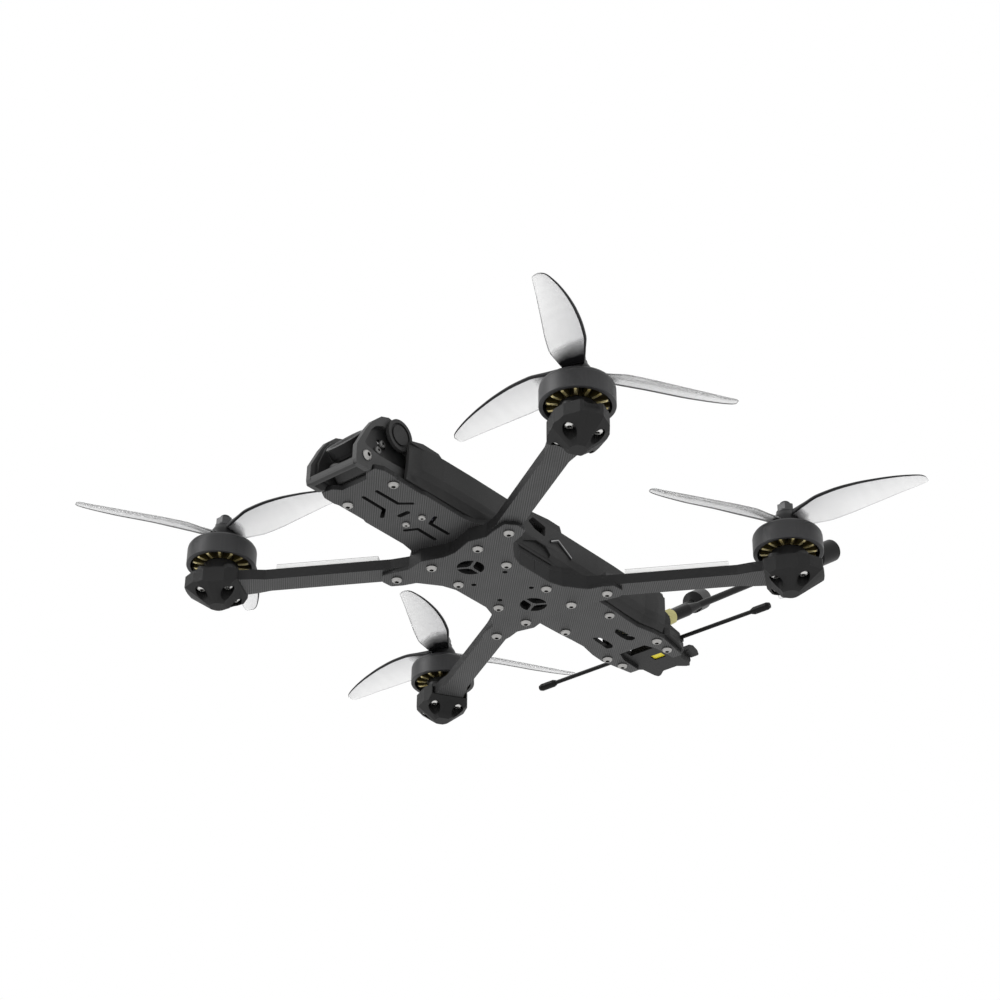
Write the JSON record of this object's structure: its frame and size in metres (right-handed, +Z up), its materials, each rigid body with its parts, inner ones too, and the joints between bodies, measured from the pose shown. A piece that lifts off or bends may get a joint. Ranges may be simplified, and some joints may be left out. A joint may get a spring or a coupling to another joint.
{
  "type": "quadcopter drone",
  "caption": "Quadcopter drone with a long flat frame, bladed propellers on guarded motors, a tilting nose camera in a cage and rod antennas at the tail.",
  "frame": {"origin": "centre of the square bolt pattern on the underside of the belly plate", "axes": "+Z up, away from the feet; +Y to the tail and the antennas, so the camera looks along -Y; +X to the drone's left-hand side seen from above with the nose down the page"},
  "size_m": [0.377, 0.3963, 0.124],
  "materials": {
    "carbon": "carbon-fibre sheet, twill weave, satin",
    "soft_shell": "matte black printed elastomer with fine layer lines",
    "screw_steel": "bright zinc-plated steel",
    "nut_steel": "steel lock nut",
    "nut_black": "black anodised",
    "bell_metal": "black anodised, satin",
    "base_metal": "black anodised",
    "copper": "lacquered copper windings on a dark stack",
    "bearing": "polished",
    "blade_plastic": "smoky translucent",
    "standoff_metal": "black anodised",
    "pad_rubber": "matte non-slip pad",
    "clear_cover": "milky clear",
    "board": "black solder mask",
    "heatsink": "black anodised, finned",
    "button": "white button",
    "capacitor": "dark sleeve",
    "grommet": "soft grommet",
    "camera_plate": "black anodised sheet",
    "camera_body": "black plastic",
    "lens_barrel": "black anodised",
    "lens_glass": "coated glass",
    "gold": "pale gold plating",
    "antenna_plastic": "black plastic",
    "antenna_tube": "black plastic tube",
    "connector": "bright yellow nylon"
  },
  "bodies": {
    "frame": {"antenna_left": "antenna_plastic", "antenna_right": "antenna_plastic", "arm_covers": "clear_cover", "arm_front_left": "carbon", "arm_front_right": "carbon", "arm_rear_left": "carbon", "arm_rear_right": "carbon", "arm_screws": "screw_steel", "battery_connector": "connector", "battery_pad": "pad_rubber", "belly_plate": "carbon", "bumper_discs": "soft_shell", "cage_screws": "screw_steel", "camera_cage": "soft_shell", "camera_plate_left": "camera_plate", "camera_plate_right": "camera_plate", "capacitor": "capacitor", "esc_board": "board", "flight_controller": "board", "lock_nuts": "nut_steel", "main_plate": "carbon", "motor_bases": "base_metal", "motor_bearings": "bearing", "motor_guard_front_left": "soft_shell", "motor_guard_front_right": "soft_shell", "motor_guard_rear_left": "soft_shell", "motor_guard_rear_right": "soft_shell", "motor_screws": "screw_steel", "motor_windings": "copper", "plate_screws": "screw_steel", "receiver": "board", "receiver_antenna": "antenna_tube", "receiver_antenna_caps": "antenna_plastic", "side_panel_left": "soft_shell", "side_panel_right": "soft_shell", "sma_connectors": "gold", "stack_bolts": "screw_steel", "stack_grommets": "grommet", "standoffs": "standoff_metal", "tail_mount": "soft_shell", "top_plate": "carbon", "top_screws": "screw_steel", "video_transmitter": "heatsink"},
    "rotor_front_right": {"motor_bell_front_right": "bell_metal", "propeller_front_right": "blade_plastic", "prop_nut_front_right": "nut_black"},
    "rotor_front_left": {"motor_bell_front_left": "bell_metal", "propeller_front_left": "blade_plastic", "prop_nut_front_left": "nut_black"},
    "rotor_rear_right": {"motor_bell_rear_right": "bell_metal", "propeller_rear_right": "blade_plastic", "prop_nut_rear_right": "nut_black"},
    "rotor_rear_left": {"motor_bell_rear_left": "bell_metal", "propeller_rear_left": "blade_plastic", "prop_nut_rear_left": "nut_black"},
    "camera": {"camera_body": "camera_body", "lens_barrel": "lens_barrel", "lens_glass": "lens_glass", "camera_screws": "screw_steel"},
    "boot_button": {"boot_button": "button"}
  },
  "joints": [
    {"name": "rotor_front_right_spin", "type": "hinge", "parent": "frame", "child": "rotor_front_right", "pos_m": [0.11266, -0.0834, 0.02], "axis": [0, 0, 1], "continuous": true},
    {"name": "rotor_front_left_spin", "type": "hinge", "parent": "frame", "child": "rotor_front_left", "pos_m": [-0.11266, -0.0834, 0.02], "axis": [0, 0, 1], "continuous": true},
    {"name": "rotor_rear_right_spin", "type": "hinge", "parent": "frame", "child": "rotor_rear_right", "pos_m": [0.11266, 0.0834, 0.02], "axis": [0, 0, 1], "continuous": true},
    {"name": "rotor_rear_left_spin", "type": "hinge", "parent": "frame", "child": "rotor_rear_left", "pos_m": [-0.11266, 0.0834, 0.02], "axis": [0, 0, 1], "continuous": true},
    {"name": "camera_tilt", "type": "hinge", "parent": "frame", "child": "camera", "pos_m": [0, -0.106, 0.0208], "axis": [1, 0, 0], "range_deg": [-20, 20]},
    {"name": "boot_button_press", "type": "slide", "parent": "frame", "child": "boot_button", "axis": [0, 0, -1], "range_m": [0, 0.00025], "stiffness_N_per_m": 400}
  ]
}
